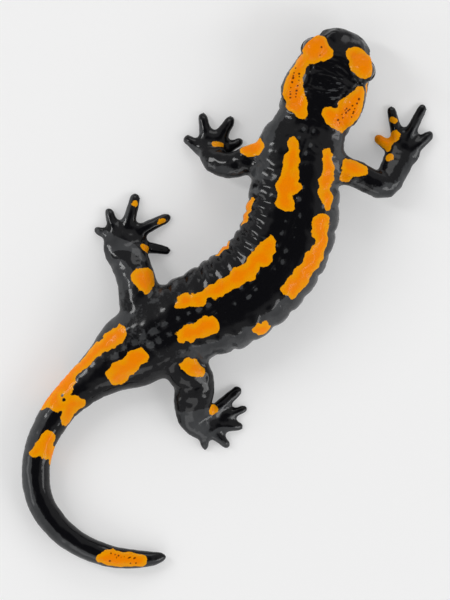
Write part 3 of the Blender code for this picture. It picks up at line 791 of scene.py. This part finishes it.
def link_depths(points, chain):
    """Give for each link of a row of rounds how deep every point lies inside it."""
    links = list(zip(chain, chain[1:])) or [(chain[0], chain[0])]
    for (start, start_radius), (end, end_radius) in links:
        run = end - start
        length = max(float(run @ run), 1e-9)
        share = np.clip(((points - start) @ run) / length, 0.0, 1.0)
        gap = np.linalg.norm(points - start - share[:, None] * run, axis=1)
        yield start_radius + (end_radius - start_radius) * share - gap


def blend_depths(first, second, melt=0.8):
    """Take the deeper of two depths, and melt them where they are alike."""
    share = np.clip(0.5 + 0.5 * (first - second) / melt, 0.0, 1.0)
    return second + (first - second) * share + melt * 0.5 * share * (1.0 - share)


def pore_distance(hide, tree):
    """Give for each point how far away the nearest dark pore is."""
    nearest = np.full(len(hide.points), FAR)
    for number, (start, end, count, wobble) in enumerate(PORE_ROWS):
        for step in range(count):
            share = (step + 0.5) / count
            turn = math.sin(step * 12.9 + number * 4.1)
            other = math.sin(step * 7.7 + number * 2.3)
            along = start[0] + (end[0] - start[0]) * share + other * wobble
            across = start[1] + (end[1] - start[1]) * share + turn * wobble
            gap = gap_to(hide.points, drop(tree, SPINE.place(along, across)))
            nearest = np.minimum(nearest, gap * (1.15 + 0.35 * turn * other))
    return nearest


def slate_and_sheen_share(skin, normals, grooves):
    """Give 1 where the black skin is grey: on the flanks, the throat and outer limbs, partly as
    slate skin and partly as painted highlight on the sides that face the lamps.
    """
    along = skin.along
    _, leftward = SPINE.split(along, normals)
    share = (
        ramp(-leftward, 0.32, 0.65) * read_table(SLATE_AND_SHEEN_RIGHT, along)
        + ramp(leftward, 0.32, 0.65) * read_table(SLATE_AND_SHEEN_LEFT, along)
    )
    share += 0.36 * bell(along - 107.0, 14.0) * ramp(skin.outward, -0.8, -0.4)
    # Grey along the outer side of the tail, partly slate skin and partly painted rim highlight.
    outer_tail = skin.tail * ramp(along, 124.0, 136.0)
    share += outer_tail * ramp(skin.outward, 0.05, 0.5)
    # Painted highlight: a grey gradient over the right of the snout tip.
    share += 0.9 * ramp(along, 5.0, 1.0) * ramp(skin.across, 1.5, -3.0)
    # Painted shading: the grey follows the folds, lighter on their swellings and darker in the
    # grooves, and is weaker where the skin faces down.
    share = share + 0.55 * grooves * (share > 0.05)
    share = share * (1.0 - 0.6 * ramp(normals[:, 2], -0.1, -0.4))

    limb = 1.0 - skin.body
    on_limb = np.zeros(len(along))
    # Painted highlight on the side of each limb that faces the lamps, partly slate skin.
    for names, (x, y), strength in SLATE_AND_SHEEN_LIMBS:
        facing = normals[:, 0] * x + normals[:, 1] * y
        on_limb += skin.mask(*names) * ramp(facing, -0.05, 0.5) * strength
    # Painted highlight: a grey band across the left ankle, with black beside it.
    for chain, strength in ANKLE_HIGHLIGHT_BANDS:
        rounds = [(np.array((x, y)), radius) for x, y, radius in chain]
        depth = np.maximum.reduce(list(link_depths(skin.hide.points[:, :2], rounds)))
        on_limb += ramp(depth, -0.4, 0.5) * strength
    return share * (1.0 - limb) + on_limb * limb


# ---------------------------------------------------------------- skin: laid flat for textures
def lay_flat(skin, normals):
    """Give the skin a map of large sheets: the upper and the under side of each part, unrolled."""
    hide = skin.hide
    soft = hide.spread(normals, 40)
    onward, leftward = SPINE.split(skin.along, soft)
    wall = WALL_SHARE * np.hypot(soft[:, 0], soft[:, 1]) ** 4
    body_wall = wall * skin.back_height / 2
    on_body = np.stack(
        (skin.along + onward * body_wall, -skin.across - leftward * body_wall), axis=1
    )
    on_limb = hide.points[:, :2] + soft[:, :2] * (wall * LIMB_DEPTH)[:, None]
    part = np.where(skin.along < MAP_SPLIT, 0, 1)
    for number, names in enumerate(LIMBS):
        own = np.isin(skin.owners, [FLESH_NODES.index(name) for name in names])
        part = np.where(own, number + 2, part)

    mesh = hide.mesh
    corners = read_all(mesh.loops, "vertex_index")
    starts = read_all(mesh.polygons, "loop_start")
    counts = np.diff(np.append(starts, len(corners)))
    face_part = np.maximum.reduceat(part[corners], starts)
    under = np.add.reduceat(soft[corners, 2], starts) < 0
    sheet = np.repeat(face_part * 2 + under, counts)
    spots = np.where((sheet > 3)[:, None], on_limb[corners], on_body[corners])
    spots[:, 1] *= np.where(sheet % 2, -1.0, 1.0)

    sheets = sorted(set(sheet.tolist()))
    lows = {name: spots[sheet == name].min(axis=0) for name in sheets}
    sizes = {name: spots[sheet == name].max(axis=0) - lows[name] for name in sheets}
    side, places = set_in_rows(sizes)
    for name in sheets:
        spots[sheet == name] += np.array(places[name]) - lows[name]
    layer = mesh.uv_layers.new(name="OFBake")
    layer.uv.foreach_set("vector", (spots / side).astype(np.float32).ravel())


def set_in_rows(sizes):
    """Set sheets in rows, in the smallest square that takes them all."""
    order = sorted(sizes, key=lambda name: -sizes[name][1])
    best = (math.inf, {})
    for width in MAP_WIDTHS:
        x = y = MAP_GAP
        row = widest = 0.0
        places = {}
        for name in order:
            long, wide = sizes[name]
            if x > MAP_GAP and x + long > width:
                x = MAP_GAP
                y += row + MAP_GAP
                row = 0.0
            places[name] = (x, y)
            x += long + MAP_GAP
            row = max(row, wide)
            widest = max(widest, x)
        side = max(widest, y + row + MAP_GAP)
        if side < best[0]:
            best = (side, places)
    return best


# ---------------------------------------------------------------- shader sums
def overload(operation, reflected=False):
    """Make an operator of a wire, which adds one Math node."""
    def method(self, other):
        return self.sum(operation, *((other, self) if reflected else (self, other)))
    return method


class Wire:
    """A socket of a shader, on which sums are written as plain Python sums."""

    def __init__(self, paint, socket):
        self.paint = paint
        self.socket = socket

    def sum(self, operation, *terms, clamp=False):
        """Add one Math node."""
        settings = {"operation": operation, "use_clamp": clamp}
        return self.paint.node("ShaderNodeMath", settings, dict(enumerate(terms)))

    __add__ = __radd__ = overload("ADD")
    __mul__ = __rmul__ = overload("MULTIPLY")
    __sub__ = overload("SUBTRACT")
    __rsub__ = overload("SUBTRACT", reflected=True)
    __truediv__ = overload("DIVIDE")
    __rtruediv__ = overload("DIVIDE", reflected=True)

    def clamped(self):
        """Keep it between 0 and 1."""
        return self.sum("ADD", self, 0.0, clamp=True)

    def wave(self):
        """Turn a count of turns into a wave that starts at 1."""
        return self.sum("COSINE", self * math.tau)


class Paint:
    """The node tree of one material, or of the light all round."""

    def __init__(self, owner):
        self.owner = owner
        owner.use_nodes = True
        self.tree = owner.node_tree
        self.tree.nodes.clear()

    def node(self, kind, settings=None, inputs=None, output=0):
        """Add a node with its settings and its sockets' values or links."""
        made = self.tree.nodes.new(kind)
        for key, value in (settings or {}).items():
            setattr(made, key, value)
        for key, value in (inputs or {}).items():
            if isinstance(value, Wire):
                self.tree.links.new(value.socket, made.inputs[key])
            else:
                made.inputs[key].default_value = value
        return Wire(self, made.outputs[output]) if made.outputs else None

    def place(self, kind="Object"):
        """Read the place of each point."""
        return self.node("ShaderNodeTexCoord", output=kind)

    def value(self, name):
        """Read a number that the mesh holds for each point."""
        settings = {"attribute_name": name, "attribute_type": "GEOMETRY"}
        return self.node("ShaderNodeAttribute", settings, output="Fac")

    def noise(self, place, scale, detail=2.0, roughness=0.5):
        """Read noise that averages 0."""
        inputs = {"Vector": place, "Scale": scale, "Detail": detail, "Roughness": roughness}
        return self.node("ShaderNodeTexNoise", None, inputs) - 0.5

    def mix(self, share, first, second):
        """Mix two colours, each a wire or three numbers."""
        first, second = (
            colour if isinstance(colour, Wire) else (*colour, 1.0) for colour in (first, second)
        )
        inputs = {0: share, 6: first, 7: second}
        return self.node("ShaderNodeMix", {"data_type": "RGBA"}, inputs, output=2)

    def bump(self, height, depth, strength=1.0):
        """Turn a height into a normal."""
        inputs = {"Strength": strength, "Distance": depth, "Height": height}
        return self.node("ShaderNodeBump", None, inputs)

    def finish(self, sockets):
        """Add the Principled shader and the output."""
        shader = self.node("ShaderNodeBsdfPrincipled", None, sockets)
        self.node("ShaderNodeOutputMaterial", None, {"Surface": shader})
        return self.owner


def skin_material(settings):
    """Wet black skin with slate flanks, yellow marks and dark pores; much of the grey is painted
    highlight.
    """
    paint = Paint(bpy.data.materials.new("wet skin"))
    place = paint.place()
    mark, slate_and_sheen, pore, nape, crests = (
        paint.value(name) for name in ("mark", "slate_and_sheen", "pore", "nape", "crests")
    )
    crest = paint.value("fold").wave() * crests
    broad = paint.noise(place, 420.0, 3.0, 0.55)
    ragged = paint.noise(place, 1500.0, 3.0, 0.6)
    cloud = paint.noise(place, 160.0)

    edge = mark + broad * 1.3 + ragged * 0.5
    inside = (edge * 7.0 + 0.5).clamped()
    depth = (mark * 0.62 + broad * 0.9 + cloud * 0.7 - 0.1).clamped()
    hole = (2.5 - pore * 7.0 + ragged * 0.8).clamped()
    yellow = paint.mix(hole, paint.mix(depth, settings.amber, settings.orange), settings.pore)

    # Painted highlight: grey streaks over the nape, along the crests of its slanting creases.
    turned = paint.node("ShaderNodeMapping", None, {
        "Vector": place, "Rotation": (0.0, 0.0, math.radians(NAPE_TURN)),
        "Scale": (0.28, 1.0, 1.0),
    })
    streak = paint.noise(turned, 1250.0, 3.0, 0.55)
    nape_highlight_streaks = ((streak * 2.0 + nape * 0.5 - 0.62) * 9.0 + 0.5).clamped() * 1.25
    # Painted shading: thin grey lines along the folds of the left flank, and grey cloud patches.
    fold_highlight_lines = ((cloud * 3.2 + ragged * 0.6 - crest - 0.95) * 3.5).clamped() * 0.55
    # The grey blotches are partly slate skin and partly painted highlight.
    blotch = ((slate_and_sheen + broad * 0.9 + ragged * 0.6 - 0.5) * 5.0 + 0.5).clamped()
    grey = ((blotch + nape_highlight_streaks + fold_highlight_lines) * (0.75 + cloud)).clamped()
    black = paint.mix(grey, settings.black, settings.slate_and_sheen)

    cells = paint.node(
        "ShaderNodeTexVoronoi", {"feature": "SMOOTH_F1"},
        {"Vector": place, "Scale": 1350.0, "Smoothness": 0.6}, output="Distance",
    )
    grain = paint.noise(place, 4200.0)
    fine = (cells * -0.6 + ragged * 0.55 + grain * 0.3) * (1.0 - crests * 0.65)
    relief = fine + streak * nape * 3.4 - crest * 0.2
    return paint.finish({
        "Base Color": paint.mix(inside, black, yellow),
        "Roughness": inside * 0.12 + broad * 0.08 + ragged * 0.06 + settings.roughness,
        "Normal": paint.bump(relief, settings.grain_depth),
        "IOR": 1.36, "Specular IOR Level": 0.04,
        "Coat Weight": 0.46 - inside * 0.34, "Coat Roughness": 0.11,
    })


def eye_material(settings):
    """A dark, wet eye: black pupil, and a dark brown iris with a few gold flecks."""
    paint = Paint(bpy.data.materials.new("wet eye"))
    place = paint.place()
    streak = paint.noise(place, 2600.0, 3.0, 0.6)
    fleck = paint.noise(place, 5200.0, 1.0)
    angle = paint.value("gaze") + streak * 2.5
    pupil = ((angle - settings.pupil_angle) / 2.0).clamped()
    rim = ((angle - settings.iris_angle) / 4.0).clamped()
    gold = ((fleck - 0.12) * 9.0).clamped() * pupil
    iris = paint.mix(gold * 0.6, settings.iris, settings.fleck)
    ball = paint.mix(pupil, (0.001, 0.001, 0.001), iris)
    return paint.finish({
        "Base Color": paint.mix(rim, ball, (0.003, 0.0028, 0.003)),
        "Roughness": 0.12 + streak * 0.04, "Normal": paint.bump(streak, 0.00002, 0.4),
        "Coat Weight": 1.0, "Coat Roughness": 0.02,
    })


def floor_material(settings):
    """A pale, matt floor that glows a little, a painted light that makes the shade around the
    animal lighter.
    """
    paint = Paint(bpy.data.materials.new("pale floor"))
    cloud = paint.noise(paint.place(), 9.0, 3.0)
    darker = tuple(part * 0.97 for part in settings.floor)
    return paint.finish({
        "Base Color": paint.mix((cloud * 0.5 + 0.5).clamped(), settings.floor, darker),
        "Roughness": 0.75, "Emission Color": (1.0, 1.0, 1.0, 1.0),
        "Emission Strength": settings.glow,
    })


def studio_light(settings):
    """Light from all round, with a dark place straight above so that black skin stays black."""
    paint = Paint(bpy.data.worlds.new("studio"))
    upward = paint.node("ShaderNodeSeparateXYZ", None, {"Vector": paint.place("Generated")}, "Z")
    shade = ((upward - settings.cap_start) / (1.0 - settings.cap_start) * 2.0).clamped()
    light = paint.mix(shade, (1.0, 1.0, 1.0), (0.04, 0.04, 0.04))
    glow = paint.node("ShaderNodeBackground", None, {"Color": light, "Strength": settings.world})
    paint.node("ShaderNodeOutputWorld", None, {"Surface": glow})
    return paint.owner


# ---------------------------------------------------------------- sizes and colours to change
def number(name, description, default, **more):
    """Declare a number that the sidebar shows."""
    return bpy.props.FloatProperty(name=name, description=description, default=default, **more)


def tone(name, description, default):
    """Declare a colour that the sidebar shows."""
    return bpy.props.FloatVectorProperty(
        name=name, description=description, default=default, subtype="COLOR", min=0.0, max=1.0,
    )


class SkinSettings(bpy.types.PropertyGroup):
    """Sizes and colours of the skin."""

    swell: number("Swell", "How far the pieces swell to close the cuts, in mm", 0.3, min=0.2)
    grain: number("Grain", "Width of a face of the skin, in mm", 0.5, min=0.3)
    groove_depth: number("Groove Depth", "Depth of the grooves on the flanks, in mm", 0.55)
    grain_depth: number(
        "Pore Relief", "Depth of the finest skin grain", 0.00011, unit="LENGTH", precision=6
    )
    roughness: number("Roughness", "Roughness of the wet skin", 0.36, subtype="FACTOR")
    orange: tone("Orange", "Middle of the marks", (0.90, 0.235, 0.0))
    amber: tone("Amber", "Rims of the marks", (0.86, 0.34, 0.0))
    black: tone("Black", "Colour of the back", (0.0035, 0.0035, 0.0045))
    # Grey of the slate skin, which also serves for the painted highlights.
    slate_and_sheen: tone("Slate", "Colour of the flanks", (0.054, 0.056, 0.059))
    pore: tone("Pore", "Mouths of the glands", (0.13, 0.024, 0.0))


class EyeSettings(bpy.types.PropertyGroup):
    """Sizes and colours of the eyes."""

    cornea: number("Cornea", "How far the cornea stands out, in mm", 0.18)
    pupil_angle: number("Pupil", "Half width of the pupil, in degrees of the ball", 24.0)
    iris_angle: number("Iris", "Half width of the iris, in degrees of the ball", 50.0)
    iris: tone("Iris Colour", "Colour of the iris", (0.020, 0.010, 0.005))
    fleck: tone("Fleck", "Colour of the flecks", (0.20, 0.10, 0.03))


class StageSettings(bpy.types.PropertyGroup):
    """Floor, light and camera."""

    floor: tone("Floor", "Colour of the floor", (0.64, 0.64, 0.64))
    glow: number("Glow", "Light that comes through the floor and softens the shade", 0.29)
    floor_width: number("Floor Width", "Width of the floor", 3.0, unit="LENGTH")
    lens: number("Lens", "Focal length of the camera, in mm", 300.0)
    view_length: number(
        "View Length", "Length of floor that the camera takes in", 0.1574, unit="LENGTH"
    )
    key: number("Key Light", "Power of the main light, in watts", 2.7)
    world: number("World", "Strength of the light all round", 0.55)
    cap_start: number(
        "Dark Above", "Height on the unit sky at which the dark place starts", 0.80,
        subtype="FACTOR",
    )


SETTINGS = {"skin": SkinSettings, "eyes": EyeSettings, "stage": StageSettings}


# ---------------------------------------------------------------- operators
def add_piece(name, mesh, material, nodes):
    """Hand a finished mesh over as a piece that stands for these nodes."""
    piece = put(name, mesh)
    mesh.materials.clear()
    mesh.materials.append(material)
    mesh.shade_smooth()
    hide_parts(*nodes)
    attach(piece, "root")


class SALAMANDER_OT_skin(bpy.types.Operator):
    """Make the skin from the nodes of flesh"""

    bl_idname = "salamander.skin"
    bl_label = "Make Skin"

    def execute(self, context):
        settings = context.scene.salamander_skin
        hide = even_skin(settings)
        shape_lids(hide)
        skin = Regions(hide)
        grooves = costal_grooves(skin, settings.groove_depth)
        relief = sum((shape(skin) for shape in RELIEFS), grooves)
        for side in SIDES:
            relief *= ramp(gap_to(hide.points, eye_axes(side)[0]), *EYE_ROOM)
        hide.lift(relief)
        tree = hide.tree()
        pores = pore_distance(hide, tree)
        hide.lift(-PORE_DEPTH * bell(pores, PORE_WIDTH))
        thin_digits(skin)
        hide.points[hide.points[:, 2] < SOLE_DEPTH, 2] = 0.0
        normals = hide.normals()
        lay_flat(skin, normals)
        slate_and_sheen = hide.spread(slate_and_sheen_share(skin, normals, grooves), 3)
        # The grey also gets painted highlights on the glands of the back.
        for name, values in (
            ("mark", mark_distance(skin, tree)), ("pore", pores),
            ("slate_and_sheen", slate_and_sheen + 0.9 * skin.beads), ("nape", skin.nape),
            ("fold", skin.fold), ("crests", skin.crests),
        ):
            hide.note(name, values)
        hide.store()
        add_piece("skin", hide.mesh, skin_material(settings), FLESH_NODES)
        return {"FINISHED"}


class SALAMANDER_OT_eyes(bpy.types.Operator):
    """Make the two eyes"""

    bl_idname = "salamander.eyes"
    bl_label = "Make Eyes"

    def execute(self, context):
        settings = context.scene.salamander_eyes
        material = eye_material(settings)
        for side, node in zip(SIDES, EYE_NODES):
            low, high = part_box(node)
            centre = (low + high) / 2
            gaze = eye_axes(side)[1]
            bm = bmesh.new()
            bmesh.ops.create_uvsphere(bm, u_segments=64, v_segments=40, radius=EYE_RADIUS * MM)
            turn = gaze.to_track_quat("Z", "Y").to_matrix().to_4x4()
            layer = bm.verts.layers.float.new("gaze")
            for vert in bm.verts:
                angle = math.degrees(math.acos(max(-1.0, min(1.0, vert.co.normalized().z))))
                vert[layer] = angle
                rise = settings.cornea * math.exp(-(angle / CORNEA_ANGLE) ** 2)
                vert.co += vert.co.normalized() * rise * MM
            bmesh.ops.transform(bm, matrix=Matrix.Translation(centre) @ turn, verts=bm.verts)
            add_piece(f"wet_{node}", to_mesh(bm, node), material, (node,))
        return {"FINISHED"}


class SALAMANDER_OT_stage(bpy.types.Operator):
    """Lay the floor and set up the light and the camera"""

    bl_idname = "salamander.stage"
    bl_label = "Make Stage"

    def execute(self, context):
        settings = context.scene.salamander_stage
        bm = bmesh.new()
        bmesh.ops.create_grid(bm, x_segments=1, y_segments=1, size=settings.floor_width / 2)
        floor = put("floor", to_mesh(bm, "floor"))
        floor.data.materials.append(floor_material(settings))

        for name, place, width, height, share in LAMPS:
            light = bpy.data.lights.new(name, "AREA")
            light.shape = "RECTANGLE"
            light.size = width
            light.size_y = height
            light.energy = settings.key * share
            lamp = put(name, light)
            lamp.location = place
            lamp.rotation_euler = (-Vector(place)).to_track_quat("-Z", "Y").to_euler()

        context.scene.world = studio_light(settings)
        context.scene.view_settings.view_transform = "Standard"
        context.scene.view_settings.look = "None"

        lens = bpy.data.cameras.new("camera")
        lens.lens = settings.lens
        lens.sensor_width = 36.0
        lens.clip_start = 0.01
        reach = settings.view_length * settings.lens / lens.sensor_width
        camera = put("camera", lens)
        camera.location = (*VIEW_MIDDLE, reach + VIEW_HEIGHT)
        context.scene.camera = camera
        return {"FINISHED"}


class SALAMANDER_PT_panel(bpy.types.Panel):
    """Panel that lists the pieces"""

    bl_label = "Fire Salamander"
    bl_idname = "SALAMANDER_PT_panel"
    bl_space_type = "VIEW_3D"
    bl_region_type = "UI"
    bl_category = "Salamander"

    def draw(self, context):
        for name, kind in SETTINGS.items():
            box = self.layout.box()
            box.operator(f"salamander.{name}")
            for key in kind.__annotations__:
                box.prop(getattr(context.scene, f"salamander_{name}"), key)


CLASSES = (
    *SETTINGS.values(),
    SALAMANDER_OT_skin, SALAMANDER_OT_eyes, SALAMANDER_OT_stage, SALAMANDER_PT_panel,
)


def register():
    """Make the add-on's classes and settings known."""
    for kind in CLASSES:
        bpy.utils.register_class(kind)
    for name, kind in SETTINGS.items():
        setattr(bpy.types.Scene, f"salamander_{name}", bpy.props.PointerProperty(type=kind))


def unregister():
    """Take them away again."""
    for name in SETTINGS:
        delattr(bpy.types.Scene, f"salamander_{name}")
    for kind in reversed(CLASSES):
        bpy.utils.unregister_class(kind)


def main():
    """Build the skin, the eyes and the stage."""
    register()
    bpy.ops.salamander.skin()
    bpy.ops.salamander.eyes()
    bpy.ops.salamander.stage()


if __name__ == "__main__":
    main()
